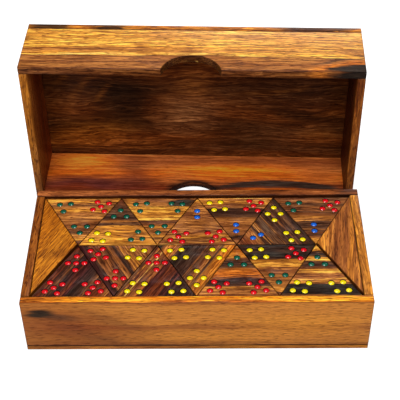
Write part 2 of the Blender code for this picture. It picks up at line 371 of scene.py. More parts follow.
TOP_FIGURES: dict[Numbers, TileFigure] = {
    (3, 3, 5): TileFigure(
        Cut.LEVEL,
        bands(
            -31, RUSSET, -26.5, WALNUT, -25, GOLD, -21, TAN, -19, WALNUT, -14, CHESTNUT, -2, TAN,
            1, CHESTNUT, 3, GOLD, 6, TAN, 7.5, WALNUT, 9.5, TAN, 11, GOLD, 15.5, GOLD,
        ),
        (
            Mark(HONEY, (-19, 12.5), (9, 2.6), 0.8),
            Mark(CHESTNUT, (16, 13), (12, 3.5), 0.7),
            Mark(HONEY, (-4, 3.5), (7, 1.6), 0.75),
            Mark(WALNUT, (0, -5), (12, 4), 0.5),
        ),
        flecks=0.25,
    ),
    (3, 4, 3): TileFigure(
        Cut.LEVEL,
        bands(
            -15.5, HONEY, -12, GOLD, -6, GOLD, 2, GOLD, 3.4, UMBER, 5, WALNUT, 6.2, TAN, 8, TAN, 9.5, UMBER,
            20, WALNUT, 31, RUSSET,
        ),
        (
            Mark(TAN, (14, -8), (12, 10), 0.7),
            Mark(HONEY, (-14, -7), (11, 6), 0.7),
            Mark(WALNUT, (9, 5), (9, 3), 0.8),
        ),
    ),
    (3, 3, 3): TileFigure(
        Cut.LEVEL,
        bands(
            -31, TAN, -27, GOLD, -24, WALNUT, -21, GOLD, -19, CHESTNUT, -16, TAN, -13, GOLD, -11, CHESTNUT,
            -8.5, UMBER, -6.5, CHESTNUT, -5.5, HONEY, -2, GOLD, 4, HONEY, 6.3, HONEY, 7.5, UMBER, 9, TAN,
            12, CHESTNUT, 15.5, TAN,
        ),
        (
            Mark(SLATE, (16, 10.5), (13, 4.2), 0.95, 0.6, 6),
            Mark(GOLD, (-20, 12), (6, 5), 0.7),
        ),
    ),
    (2, 5, 5): TileFigure(
        Cut.LEVEL,
        bands(
            -15.5, TAN, -12, CHESTNUT, -9, GOLD, -5, CHESTNUT, 0, TAN, 4, TAN, 9, TAN, 14, CHESTNUT,
            22, TAN, 31, GOLD,
        ),
        (
            Mark(STRAW, (-16, -14.6), (13, 1.6), 0.95, 0.7),
            Mark(WALNUT, (0, -11), (18, 3), 0.5),
        ),
        waviness=1, flecks=0.85,
    ),
    (2, 4, 5): TileFigure(
        Cut.LEVEL,
        bands(
            -31, TAN, -27, CHESTNUT, -25.4, EBONY, -24, TAN, -21, CHESTNUT, -18, TAN, -15, CHESTNUT,
            -12, TAN, -9, CHESTNUT, -7, TAN, -5, WALNUT, -1, UMBER, 2, UMBER, 5, UMBER, 6.4, TAN,
            8, CHESTNUT, 10, GOLD, 12, TAN, 13.5, GOLD, 15.5, TAN,
        ),
        (
            Mark(STRAW, (10, 14.2), (16, 1.2), 0.95, 0.7, 2),
            Mark(WALNUT, (14, 5), (9, 5), 0.6),
        ),
        flecks=0.2,
    ),
    (4, 2, 4): TileFigure(
        Cut.FALLING,
        bands(
            -31, CHESTNUT, -22, RUSSET, -15, CHESTNUT, -13.8, TAN, -12.5, UMBER, -9.8, UMBER, -9, TAN,
            -8, UMBER, -4, WALNUT, -1.8, UMBER, -1, TAN, 0, UMBER, 5, UMBER, 6, CHESTNUT, 7, UMBER,
            11, WALNUT, 13, UMBER, 15.5, EBONY,
        ),
        (
            Mark(TAN, (-6, -20), (12, 5), 0.5),
            Mark(SLATE, (-4, -4), (14, 3), 0.5),
        ),
        waviness=0.3,
    ),
    (2, 3, 5): TileFigure(
        Cut.LEVEL,
        bands(
            -31, GOLD, -24, GOLD, -22.5, CHESTNUT, -21, UMBER, -19.5, CHESTNUT, -17, WALNUT, -15.5, TAN,
            -13, UMBER, -10, WALNUT, -8, UMBER, -6.8, TAN, -3, TAN, -1.5, CHESTNUT, 1, UMBER, 4, CHESTNUT,
            8, WALNUT, 11, CHESTNUT, 15.5, WALNUT,
        ),
        (
            Mark(WALNUT, (17, 8), (12, 7), 0.5),
            Mark(GOLD, (0, -4.5), (15, 1.6), 0.6),
        ),
        flecks=0.15,
    ),
    (5, 5, 5): TileFigure(
        Cut.RISING,
        bands(
            -31, CHESTNUT, -27, RUSSET, -24.5, TAN, -23, RUSSET, -18, RUSSET, -13, UMBER, -11, CHESTNUT,
            -9.5, UMBER, -3, EBONY, -1, PLUM, 1.2, RUSSET, 2.5, PLUM, 7, UMBER, 8.6, CHESTNUT, 9.6, UMBER,
            12.5, RUSSET, 15.5, UMBER,
        ),
        (
            Mark(PLUM, (8, -3), (20, 8), 0.5),
            Mark(SLATE, (-12, 3), (14, 3), 0.5),
        ),
        waviness=0.3, flecks=0.04,
    ),
    (5, 5, 4): TileFigure(
        Cut.FALLING,
        bands(
            -15.5, PLUM, -11, UMBER, -8, CHESTNUT, -4, CHESTNUT, -2.2, UMBER, -0.8, CHESTNUT, 0.2, TAN,
            1.6, CHESTNUT, 2.6, UMBER, 5.4, UMBER, 6.8, CHESTNUT, 8, GOLD, 10, CHESTNUT, 12, GOLD,
            14, CHESTNUT, 17, TAN, 24, CHESTNUT, 31, UMBER,
        ),
        (
            Mark(RUSSET, (-16, -8), (12, 6), 0.7),
            Mark(SLATE, (4, 4), (16, 1.6), 0.6, 0.8),
        ),
        waviness=0.35, flecks=0.04,
    ),
    (5, 4, 4): TileFigure(
        Cut.RISING,
        bands(
            -31, EBONY, -24, UMBER, -19, UMBER, -15, UMBER, -11, PLUM, -7, RUSSET, -3, RUSSET, 0.5, PLUM,
            3, RUSSET, 6, CHESTNUT, 8.8, CHESTNUT, 9.6, STRAW, 10.4, RUSSET, 12.4, CHESTNUT, 13, GOLD,
            13.7, RUSSET, 15.5, WALNUT,
        ),
        (
            Mark(EBONY, (-8, -16), (14, 8), 0.7),
            Mark(AMBER, (-16, 4), (14, 2.4), 0.5),
        ),
        waviness=0.25, flecks=0.04,
    ),
    (4, 4, 4): TileFigure(
        Cut.RISING,
        bands(
            -15.5, GOLD, -13, AMBER, -9.8, GOLD, -8.6, WALNUT, -7, UMBER, -5, TAN, -3.5, CHESTNUT,
            -1, WALNUT, 1, CHESTNUT, 3, UMBER, 8, UMBER, 12, EBONY, 16, UMBER, 18, CHESTNUT, 21, AMBER,
            25, TAN, 27, SLATE, 31, EBONY,
        ),
        (
            Mark(SLATE, (2, 8), (14, 5), 0.5),
            Mark(GOLD, (-8, -12.5), (20, 3), 0.5, 0.8),
        ),
        waviness=0.3, flecks=0.04,
    ),
    (3, 5, 5): TileFigure(
        Cut.LEVEL,
        bands(
            -15.5, CHESTNUT, -13, TAN, -11, CHESTNUT, -8.6, GOLD, -7.2, CHESTNUT, -6, UMBER, -2, PLUM,
            -0.6, CHESTNUT, 2, AMBER, 5, AMBER, 8.6, TAN, 10, WALNUT, 13, UMBER, 18, CHESTNUT, 20, GOLD,
            24, AMBER, 26, CHESTNUT, 31, TAN,
        ),
        (
            Mark(SLATE, (-10, -4.4), (16, 2.6), 0.6, 0.8),
            Mark(STRAW, (12, -8), (9, 1.2), 0.8, 0.7, 3),
            Mark(AMBER, (0, 4), (14, 3), 0.5),
        ),
        flecks=0.15,
    ),
    (3, 4, 5): TileFigure(
        Cut.LEVEL,
        bands(
            -31, CHESTNUT, -28.5, CHESTNUT, -27, GOLD, -22, TAN, -15, TAN, -10, CHESTNUT, -7, CHESTNUT,
            -5.6, GOLD, -3, HONEY, 0.5, GOLD, 2, UMBER, 6, EBONY, 11, UMBER, 15.5, EBONY,
        ),
        (
            Mark(SLATE, (-6, 8), (20, 5), 0.8, 0.8),
            Mark(TAN, (2, -1.2), (12, 0.8), 0.8, 0.7, -4),
            Mark(CHESTNUT, (0, -12), (10, 3), 0.5),
        ),
    ),
    (3, 4, 4): TileFigure(
        Cut.LEVEL,
        bands(
            -15.5, TAN, -14.6, EBONY, -9, EBONY, -6.5, SLATE, -5, CHESTNUT, -3.4, GOLD, -1, TAN, 0.4, HONEY,
            1.6, CHESTNUT, 4.6, CHESTNUT, 6, TAN, 7.4, HONEY, 8.6, CHESTNUT, 11, UMBER, 14, WALNUT,
            16, HONEY, 18.6, GOLD, 20, SLATE, 23.4, UMBER, 24.8, GOLD, 31, HONEY,
        ),
        (Mark(SLATE, (14, -11), (14, 3), 0.7, 0.8),),
    ),
}

TOP_ORDER: dict[Numbers, Numbers] = {tuple(sorted(numbers)): numbers for numbers in TOP_FIGURES}

LOWER_TONES = (
    (UMBER, WALNUT, EBONY, CHESTNUT, UMBER),
    (WALNUT, TAN, CHESTNUT, GOLD, WALNUT),
    (RUSSET, CHESTNUT, UMBER, TAN, RUSSET),
    (TAN, GOLD, CHESTNUT, HONEY, TAN),
    (PLUM, RUSSET, EBONY, WALNUT, CHESTNUT),
)


class Graph:
    """A node tree as it is wired up."""

    def __init__(self, tree: Tree) -> None:
        """Keeps the tree that nodes are added to."""
        self.tree = tree

    def node(self, kind: str, feeds: dict[str | int, Any] | None = None, **settings: Any) -> Node:
        """Adds a node.

        Args:
            kind: the node's type name, such as ShaderNodeMath.
            feeds: what each input takes: a socket to link, or a value.
            settings: properties of the node itself.

        Returns:
            The node.
        """
        made = self.tree.nodes.new(kind)
        for name, value in settings.items():
            setattr(made, name, value)
        for name, value in (feeds or {}).items():
            self.feed(made.inputs[name], value)
        return made

    def feed(self, socket: Socket, value: Any) -> None:
        """Links a socket into an input, or sets the input's own value."""
        if isinstance(value, bpy.types.NodeSocket):
            self.tree.links.new(value, socket)
        else:
            socket.default_value = value

    def math(self, operation: str, a: Any, b: Any = None, clamp: bool = False) -> Socket:
        """The result of a Math node."""
        feeds = {0: a} if b is None else {0: a, 1: b}
        return self.node("ShaderNodeMath", feeds, operation=operation, use_clamp=clamp).outputs[0]

    def vector(self, operation: str, a: Any, b: Any) -> Socket:
        """The result of a Vector Math node: a number for a dot product, else a vector."""
        made = self.node("ShaderNodeVectorMath", {0: a, 1: b}, operation=operation)
        return made.outputs["Value" if operation == "DOT_PRODUCT" else "Vector"]

    def combine(self, *parts: Any) -> Socket:
        """A vector of its parts."""
        return self.node("ShaderNodeCombineXYZ", dict(enumerate(parts))).outputs[0]

    def remap(self, value: Any, low: Any, high: Any, to_low: float = 0.0, to_high: float = 1.0) -> Socket:
        """A value moved smoothly from one range to another, and held at its ends."""
        feeds = {"Value": value, 1: low, 2: high, 3: to_low, 4: to_high}
        return self.node("ShaderNodeMapRange", feeds, interpolation_type="SMOOTHSTEP").outputs["Result"]

    def noise(self, vector: Any, detail: float = 2.0, roughness: float = 0.5, offset: Any = None) -> Node:
        """A Noise Texture at a scale of one."""
        place = vector if offset is None else self.vector("ADD", vector, offset)
        feeds = {"Vector": place, "Scale": 1.0, "Detail": detail, "Roughness": roughness}
        return self.node("ShaderNodeTexNoise", feeds, noise_dimensions="3D")

    def blend(self, mode: str, factor: Any, a: Any, b: Any) -> Socket:
        """Two colours mixed in one of the blend modes."""
        made = self.node("ShaderNodeMix", data_type="RGBA", blend_type=mode)
        self.feed(made.inputs["Factor"], factor)
        for socket, colour in zip([s for s in made.inputs if s.type == "RGBA"], (a, b)):
            self.feed(socket, (*colour, 1.0) if isinstance(colour, tuple) else colour)
        return next(s for s in made.outputs if s.type == "RGBA")


class WoodGroups:
    """The node groups that every wood material shares.

    The scales are per metre along, across and through the grain, and the reaches are metres.
    """

    SEED_SHIFT = (3.7, 5.3, 1.9)
    SLOW_SCALE, SLOW_REACH = (9.0, 34.0, 34.0), (0.0, 0.016, 0.010)
    QUICK_SCALE, QUICK_REACH = (40.0, 210.0, 210.0), (0.0, 0.0030, 0.0020)
    CLOUD_SCALE = (22.0, 60.0, 60.0)
    STREAK_SCALE = (8.0, 330.0, 260.0)
    FINE_SCALE = (52.0, 1150.0, 900.0)
    PORE_SCALE, PORE_RANGE = (170.0, 1650.0, 1400.0), (0.55, 0.64)
    FLECK_SCALE, FLECK_RANGE = (58.0, 900.0, 700.0), (0.57, 0.66)
    CONTRAST, MIDDLE = (0.30, 0.70), (0.5, 0.5, 0.5)
    LINE_DETAIL, DOT_DETAIL, LINE_ROUGHNESS = 3.0, 1.0, 0.6
    STREAK_FEATHER, FINE_FEATHER = 0.0030, 0.0016
    BAND_TILT = (0.0, 1.0, 0.35)
    STREAK_SHARE = 0.65
    GAIN_BASE, GREEN_POWER, BLUE_POWER = 6.0, 1.22, 1.35
    FLECK_GAIN = (2.2, 2.6, 2.8)
    PORE_TINT = (0.36, 0.28, 0.26)
    # The colour that the shade attribute multiplies in: painted shade, and darker worn edges.
    SHADE_TINT = (0.10, 0.07, 0.06)
    PALEST = (0.90, 0.66, 0.36)
    PORE_ROUGHNESS, FINE_ROUGHNESS = 0.2, 0.12
    FINE_HEIGHT = 0.4

    def __init__(self) -> None:
        """Builds the groups once."""
        self.figure = self._figure()
        self.mark = self._mark()
        self.surface = self._surface()

    @staticmethod
    def _new(name: str, inputs: dict[str, Any], outputs: dict[str, str]) -> tuple[Tree, Graph, Node, Node]:
        """Starts a group.

        Args:
            name: the group's name.
            inputs: each input's default: a number, a vector of three or a colour of four.
            outputs: each output's kind.

        Returns:
            The group, its graph, its input node and its output node.
        """
        tree = bpy.data.node_groups.new(name, "ShaderNodeTree")
        for label, default in inputs.items():
            kind = {3: "Vector", 4: "Color"}[len(default)] if isinstance(default, tuple) else "Float"
            socket = tree.interface.new_socket(label, in_out="INPUT", socket_type="NodeSocket" + kind)
            socket.default_value = default
        for label, kind in outputs.items():
            tree.interface.new_socket(label, in_out="OUTPUT", socket_type="NodeSocket" + kind)
        graph = Graph(tree)
        return tree, graph, graph.node("NodeGroupInput"), graph.node("NodeGroupOutput")

    def _figure(self) -> Tree:
        """Turns object coordinates into a place in the grain, with the streaks and pores there."""
        inputs = dict.fromkeys(("Vector", "Origin", "Along", "Across", "Through"), ORIGIN)
        inputs |= {"Waviness": 1.0, "Seed": 0.0}
        outputs = {"Place": "Vector"} | dict.fromkeys(("Band", "Streak", "Fine", "Pores", "Flecks"), "Float")
        tree, graph, given, gives = self._new("wood_figure", inputs, outputs)
        take = given.outputs
        local = graph.vector("SUBTRACT", take["Vector"], take["Origin"])
        ways = [graph.vector("DOT_PRODUCT", local, take[way]) for way in ("Along", "Across", "Through")]
        place = graph.combine(*ways)
        shift = graph.vector("MULTIPLY", graph.combine(*[take["Seed"]] * 3), self.SEED_SHIFT)

        def layer(scale: Triple) -> Node:
            """Noise stretched along the grain."""
            return graph.noise(graph.vector("MULTIPLY", place, scale), offset=shift)

        def wave(scale: Triple, reach: Triple) -> Socket:
            """How far the grain wanders at one scale."""
            middle = graph.vector("SUBTRACT", layer(scale).outputs["Color"], self.MIDDLE)
            return graph.vector("MULTIPLY", middle, reach)

        slow = wave(self.SLOW_SCALE, self.SLOW_REACH)
        warp = graph.vector("ADD", slow, wave(self.QUICK_SCALE, self.QUICK_REACH))
        warp = graph.vector("MULTIPLY", warp, graph.combine(*[take["Waviness"]] * 3))
        warped = graph.vector("ADD", place, warp)

        def lines(scale: Triple, detail: float, low: float, high: float) -> Socket:
            """Noise drawn out along the warped grain, with its contrast raised."""
            drawn = graph.noise(graph.vector("MULTIPLY", warped, scale), detail, self.LINE_ROUGHNESS, shift)
            return graph.remap(drawn.outputs[0], low, high)

        clouds = graph.remap(layer(self.CLOUD_SCALE).outputs[0], *self.CONTRAST)
        streak = lines(self.STREAK_SCALE, self.LINE_DETAIL, *self.CONTRAST)
        fine = lines(self.FINE_SCALE, self.LINE_DETAIL, *self.CONTRAST)
        feather = graph.math("MULTIPLY", graph.math("SUBTRACT", streak, 0.5), self.STREAK_FEATHER)
        fringe = graph.math("MULTIPLY", graph.math("SUBTRACT", fine, 0.5), self.FINE_FEATHER)
        across = graph.vector("DOT_PRODUCT", warped, self.BAND_TILT)
        ragged = graph.combine(0.0, graph.math("ADD", feather, fringe))
        streaked = graph.math("MULTIPLY", streak, self.STREAK_SHARE)
        clouded = graph.math("MULTIPLY", clouds, 1.0 - self.STREAK_SHARE)
        results = {
            "Place": graph.vector("ADD", warped, ragged),
            "Band": graph.math("ADD", graph.math("ADD", across, feather), fringe),
            "Streak": graph.math("ADD", streaked, clouded),
            "Fine": fine,
            "Pores": lines(self.PORE_SCALE, self.DOT_DETAIL, *self.PORE_RANGE),
            "Flecks": lines(self.FLECK_SCALE, self.DOT_DETAIL, *self.FLECK_RANGE),
        }
        for name, result in results.items():
            graph.feed(gives.inputs[name], result)
        return tree

    def _mark(self) -> Tree:
        """The mask of a soft-edged, turned and bent oval."""
        inputs = {"Place": ORIGIN, "Centre": ORIGIN, "Half Length": 0.01, "Half Width": 0.005}
        inputs |= {"Turn": 0.0, "Bend": 0.0, "Softness": 0.5}
        tree, graph, given, gives = self._new("wood_mark", inputs, {"Mask": "Float"})
        take = given.outputs
        local = graph.vector("SUBTRACT", take["Place"], take["Centre"])
        feeds = {"Vector": local, "Axis": UP, "Angle": graph.math("MULTIPLY", take["Turn"], -1.0)}
        turned = graph.node("ShaderNodeVectorRotate", feeds, rotation_type="AXIS_ANGLE").outputs[0]
        split = graph.node("ShaderNodeSeparateXYZ", {0: turned}).outputs
        curve = graph.math("MULTIPLY", graph.math("MULTIPLY", split[0], split[0]), take["Bend"])
        along = graph.math("DIVIDE", split[0], take["Half Length"])
        across = graph.math("DIVIDE", graph.math("SUBTRACT", split[1], curve), take["Half Width"])
        squares = [graph.math("MULTIPLY", part, part) for part in (along, across)]
        distance = graph.math("SQRT", graph.math("ADD", *squares))
        inner = graph.math("SUBTRACT", 1.0, take["Softness"])
        graph.feed(gives.inputs["Mask"], graph.remap(distance, 1.0, inner))
        return tree

    def _surface(self) -> Tree:
        """Lays streaks, pores, flecks, and the painted shade and edge wear of the shade attribute, over a
        board's tones.
        """
        inputs = {"Tone": (*TAN.value, 1.0), "Stain": (1.0, 1.0, 1.0), "Streak": 0.5, "Fine": 0.5}
        inputs |= dict.fromkeys(("Pores", "Flecks", "Shade"), 0.0)
        amounts = ("Streak Amount", "Fine Amount", "Pore Amount", "Fleck Amount")
        inputs |= dict.fromkeys((*amounts, "Roughness"), 0.5)
        outputs = {"Color": "Color", "Roughness": "Float", "Height": "Float"}
        tree, graph, given, gives = self._new("wood_surface", inputs, outputs)
        take = given.outputs
        broad = graph.math("MULTIPLY", graph.math("SUBTRACT", take["Streak"], 0.5), take["Streak Amount"])
        thin = graph.math("SUBTRACT", take["Fine"], 0.5)
        swing = graph.math("ADD", broad, graph.math("MULTIPLY", thin, take["Fine Amount"]))
        gain = graph.math("POWER", self.GAIN_BASE, swing)
        powers = (self.GREEN_POWER, self.BLUE_POWER)
        tint = graph.combine(gain, *(graph.math("POWER", gain, power) for power in powers))
        stained = graph.vector("MULTIPLY", take["Tone"], take["Stain"])
        colour = graph.vector("MULTIPLY", stained, tint)
        fleck = graph.math("MULTIPLY", take["Flecks"], take["Fleck Amount"])
        colour = graph.blend("MIX", fleck, colour, graph.vector("MULTIPLY", stained, self.FLECK_GAIN))
        pore = graph.math("MULTIPLY", take["Pores"], take["Pore Amount"])
        colour = graph.blend("MULTIPLY", pore, colour, self.PORE_TINT)
        # Painted shade and darker worn edges: the colour is multiplied towards SHADE_TINT by the faces'
        # shade attribute.
        colour = graph.blend("MULTIPLY", take["Shade"], colour, self.SHADE_TINT)
        graph.feed(gives.inputs["Color"], graph.vector("MINIMUM", colour, self.PALEST))
        rough = graph.math("ADD", take["Roughness"], graph.math("MULTIPLY", pore, self.PORE_ROUGHNESS))
        rough = graph.math("ADD", rough, graph.math("MULTIPLY", thin, self.FINE_ROUGHNESS))
        graph.feed(gives.inputs["Roughness"], rough)
        raised = graph.math("MULTIPLY", take["Fine"], self.FINE_HEIGHT)
        graph.feed(gives.inputs["Height"], graph.math("SUBTRACT", raised, pore))
        return tree


class Finisher:
    """Makes the set's materials."""

    WOOD_ROUGHNESS = 0.42
    BUMP = {"Strength": 0.35, "Distance": 0.00012}
    VARNISH = {"Specular IOR Level": 0.09, "Coat Weight": 0.03, "Coat Roughness": 0.25}
    ENAMEL = {"Roughness": 0.20, "Specular IOR Level": 0.45}
    PATCH_SCALE = (420.0, 420.0, 420.0)
    PATCH_RANGE = (0.35, 0.65)
    PATCH_SHADE = 0.80

    def __init__(self) -> None:
        """Builds the shared groups."""
        self.groups = WoodGroups()
        self.made: dict[str, Material] = {}

    def _start(self, name: str, values: dict[str, float]) -> tuple[Material, Graph, Node]:
        """A new material with some of its shader's values set, its graph and its Principled BSDF."""
        material = bpy.data.materials.new(name)
        material.use_nodes = True
        graph, shader = Graph(material.node_tree), material.node_tree.nodes["Principled BSDF"]
        for socket, value in values.items():
            graph.feed(shader.inputs[socket], value)
        return material, graph, shader

    def wood(self, plank: Plank, grain: Grain) -> Material:
        """The material of one piece of wood.

        Args:
            plank: the piece's figure.
            grain: how the piece was cut.

        Returns:
            The material.
        """
        material, graph, shader = self._start(plank.name, self.VARNISH)
        feeds = {
            "Vector": graph.node("ShaderNodeTexCoord").outputs["Object"],
            "Origin": grain.origin,
            "Along": grain.along,
            "Across": grain.across,
            "Through": grain.through,
            "Waviness": plank.waviness,
            "Seed": plank.seed,
        }
        figure = graph.node("ShaderNodeGroup", feeds, node_tree=self.groups.figure)
        colour = self._bands(graph, plank.bands, figure.outputs["Band"])
        for mark in plank.marks:
            colour = self._mark(graph, mark, figure.outputs["Place"], colour)
        feeds = {
            "Tone": colour,
            "Stain": plank.stain,
            # The shade attribute: painted shade on inner faces, sides and hollows, and darker worn edges.
            "Shade": graph.node("ShaderNodeAttribute", attribute_name="shade").outputs["Fac"],
            "Streak Amount": plank.streaks,
            "Fine Amount": plank.fine,
            "Pore Amount": plank.pores,
            "Fleck Amount": plank.flecks,
            "Roughness": self.WOOD_ROUGHNESS,
        }
        for name in ("Streak", "Fine", "Pores", "Flecks"):
            feeds[name] = figure.outputs[name]
        surface = graph.node("ShaderNodeGroup", feeds, node_tree=self.groups.surface)
        bump = graph.node("ShaderNodeBump", self.BUMP | {"Height": surface.outputs["Height"]})
        graph.feed(shader.inputs["Base Color"], surface.outputs["Color"])
        graph.feed(shader.inputs["Roughness"], surface.outputs["Roughness"])
        graph.feed(shader.inputs["Normal"], bump.outputs["Normal"])
        return material

    def _bands(self, graph: Graph, steps: Bands, band: Socket) -> Socket:
        """The tones of a plank, laid across its grain."""
        places = [place * MM for place, _ in steps]
        low, high = places[0], places[-1]
        position = graph.math("DIVIDE", graph.math("SUBTRACT", band, low), high - low, clamp=True)
        ramp = graph.node("ShaderNodeValToRGB", {0: position})
        stops = ramp.color_ramp.elements
        while len(stops) < len(places):
            stops.new(1.0)
        for stop, place, (_, tone) in zip(stops, places, steps):
            stop.position = (place - low) / (high - low)
            stop.color = (*tone.value, 1.0)
        return ramp.outputs["Color"]

    def _mark(self, graph: Graph, mark: Mark, place: Socket, colour: Socket) -> Socket:
        """Lays one mark over the tones beneath it."""
        feeds = {
            "Place": place,
            "Centre": (mark.centre[0] * MM, mark.centre[1] * MM, 0.0),
            "Half Length": mark.reach[0] * MM,
            "Half Width": mark.reach[1] * MM,
            "Turn": math.radians(mark.turn),
            "Bend": mark.bend,
            "Softness": mark.softness,
        }
        mask = graph.node("ShaderNodeGroup", feeds, node_tree=self.groups.mark).outputs["Mask"]
        return graph.blend("MIX", graph.math("MULTIPLY", mask, mark.strength), colour, mark.tone.value)

    def paint(self, paint: Paint) -> Material:
        """The material of one enamel, made on its first use."""
        if paint.name not in self.made:
            material, graph, shader = self._start(paint.name, self.ENAMEL)
            coordinates = graph.node("ShaderNodeTexCoord").outputs["Object"]
            patches = graph.noise(graph.vector("MULTIPLY", coordinates, self.PATCH_SCALE)).outputs[0]
            deeper = tuple(part * self.PATCH_SHADE for part in paint.colour)
            mask = graph.remap(patches, *self.PATCH_RANGE)
            graph.feed(shader.inputs["Base Color"], graph.blend("MIX", mask, deeper, paint.colour))
            self.made[paint.name] = material
        return self.made[paint.name]


class Carpenter:
    """Mesh work that the sub-assemblies share."""

    EASE, EASE_STEPS, EASE_DARK = 0.0006, 3, 0.35
    SHARP = math.radians(40.0)
    SMOOTH_BELOW = math.radians(35.0)
    FACING, UPRIGHT_FACE = 0.9, 0.1

    @staticmethod
    def blank() -> Mesh:
        """An empty bmesh whose faces can be shaded."""
        bm = bmesh.new()
        bm.faces.layers.float.new("shade")
        return bm

    @classmethod
    def cuboid(cls, low: Vector, high: Vector) -> Mesh:
        """A bmesh that fills the box between two corners."""
        bm = cls.blank()
        bmesh.ops.create_cube(bm, size=1.0)
        bmesh.ops.scale(bm, vec=high - low, verts=bm.verts)
        bmesh.ops.translate(bm, vec=(low + high) / 2, verts=bm.verts)
        return bm

    @classmethod
    def raised(cls, outline: Iterable[tuple[float, float]], low: float, high: float) -> Mesh:
        """A bmesh of a flat outline in XY, raised from one height to another."""
        bm = cls.blank()
        face = bm.faces.new([bm.verts.new((x, y, low)) for x, y in outline])
        made = bmesh.ops.extrude_face_region(bm, geom=[face])["geom"]
        top = [item for item in made if isinstance(item, bmesh.types.BMVert)]
        bmesh.ops.translate(bm, vec=(0.0, 0.0, high - low), verts=top)
        bmesh.ops.recalc_face_normals(bm, faces=bm.faces)
        bm.normal_update()
        return bm

    @staticmethod
    def shade(bm: Mesh, faces: Iterable[Face], amount: float) -> None:
        """Marks faces as darkened, from 0 to 1: mostly painted shade on inner faces, sides and pip hollows,
        and also darker worn eased edges.
        """
        layer = bm.faces.layers.float["shade"]
        for face in faces:
            face[layer] = max(face[layer], amount)

    @classmethod
    def facing(cls, bm: Mesh, way: Sequence[float]) -> list[Face]:
        """The faces that look the given way."""
        bm.normal_update()
        return [face for face in bm.faces if face.normal.dot(Vector(way)) > cls.FACING]

    @classmethod
    def sides(cls, bm: Mesh) -> list[Face]:
        """The upright faces."""
        return [face for face in bm.faces if abs(face.normal.z) < cls.UPRIGHT_FACE]

    @classmethod
    def ease(cls, bm: Mesh, width: float = EASE, dark: float = EASE_DARK) -> None:
        """Rounds the sharp edges and darkens what this makes: wear on the boards' edges, and painted shade
        in the gaps between tiles.

        Args:
            bm: the mesh.
            width: how far the rounding reaches.
            dark: how dark the rounded edges are.
        """
        made = bmesh.ops.bevel(
            bm,
            geom=[e for e in bm.edges if len(e.link_faces) == 2 and e.calc_face_angle() > cls.SHARP],
            offset=width,
            offset_type="OFFSET",
            segments=cls.EASE_STEPS,
            profile=0.5,
            affect="EDGES",
            clamp_overlap=True,
            material=-1,
        )
        cls.shade(bm, made["faces"], dark)

    @classmethod
    def piece(
        cls, name: str, bm: Mesh, materials: list[Material], body: str, stands_for: list[str], slot: Slot
    ) -> None:
        """Makes a finished piece, links it into the scene, parents it to its body and hides the CAD nodes
        that it stands for.

        Args:
            name: the piece's name.
            bm: its mesh, in place, which is freed here.
            materials: its materials, in the order of the faces' indices.
            body: the CAD body that it moves with.
            stands_for: the CAD nodes that it replaces.
            slot: the record's material slot of its finish; not used.
        """
        mesh = bpy.data.meshes.new(name)
        bm.to_mesh(mesh)
        bm.free()
        mesh.shade_smooth()
        mesh.set_sharp_from_angle(angle=cls.SMOOTH_BELOW)
        for material in materials:
            mesh.materials.append(material)
        made = bpy.data.objects.new(name, mesh)
        bpy.context.scene.collection.objects.link(made)
        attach(made, body)
        if stands_for:
            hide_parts(*stands_for)
        log.info("%s: %d faces, rides on %s", name, len(mesh.polygons), body)


@dataclass
class Tray:
    """The tray: four walls on a bottom board, and the two filler blocks."""

    finisher: Finisher
    body: str = "tray"
    # How dark the painted shade is on the walls' inner faces and on the fillers' upright sides.
    inner_shade: float = 0.93
    front_y: float = -0.0535
    filler_ease: float = 0.0004
    filler_edge_dark: float = 0.5

    def build(self) -> None:
        """Makes the boards and the fillers."""
        front, back = (Grain(origin=(0.0, y, 0.0)) for y in (self.front_y, -self.front_y))
        for node, grain, inner in (
            ("tray_front_wall", front, (0, 1, 0)),
            ("tray_back_wall", back, (0, -1, 0)),
            ("tray_left_wall", Grain(*ACROSS_X), (1, 0, 0)),
            ("tray_right_wall", Grain(*ACROSS_X), (-1, 0, 0)),
            ("tray_bottom", Grain(*LYING), UP),
        ):
            low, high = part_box(node)
            bm = Carpenter.cuboid(low, high)
            # Painted shade on the inner face, which looks towards the tiles.
            Carpenter.shade(bm, Carpenter.facing(bm, inner), self.inner_shade)
            Carpenter.ease(bm)
            woods = [self.finisher.wood(WOODS[node], grain)]
            if grain is front:
                lying = Grain(*LYING, (0.0, self.front_y, high.z))
                woods.append(self.finisher.wood(WOODS["front_rim"], lying))
                for face in Carpenter.facing(bm, UP):
                    face.material_index = 1
            Carpenter.piece(node + "_board", bm, woods, self.body, [node], Slot.TRAY)
        self._filler("filler_left", "left_filler", 62.0)
        self._filler("filler_right", "right_filler", 84.0)

    def _filler(self, node: str, name: str, turn: float) -> None:
        """Makes one filler block, whose point faces the tiles.

        Args:
            node: the CAD node that it replaces.
            name: the piece's name.
            turn: the way that its grain runs, in degrees from X.
        """
        low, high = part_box(node)
        point, wall = (high.x, low.x) if low.x < 0 else (low.x, high.x)
        reach = (high.y - low.y) / 2
        bm = Carpenter.raised([(point, 0.0), (wall, reach), (wall, -reach)], low.z, high.z)
        # Painted shade on the filler's upright sides, which stand above the tiles.
        Carpenter.shade(bm, Carpenter.sides(bm), self.inner_shade)
        Carpenter.ease(bm, self.filler_ease, self.filler_edge_dark)
        wood = self.finisher.wood(WOODS[node], Grain.level(math.radians(turn), (wall, 0.0, high.z)))
        Carpenter.piece(name, bm, [wood], self.body, [node], Slot.FILLER)


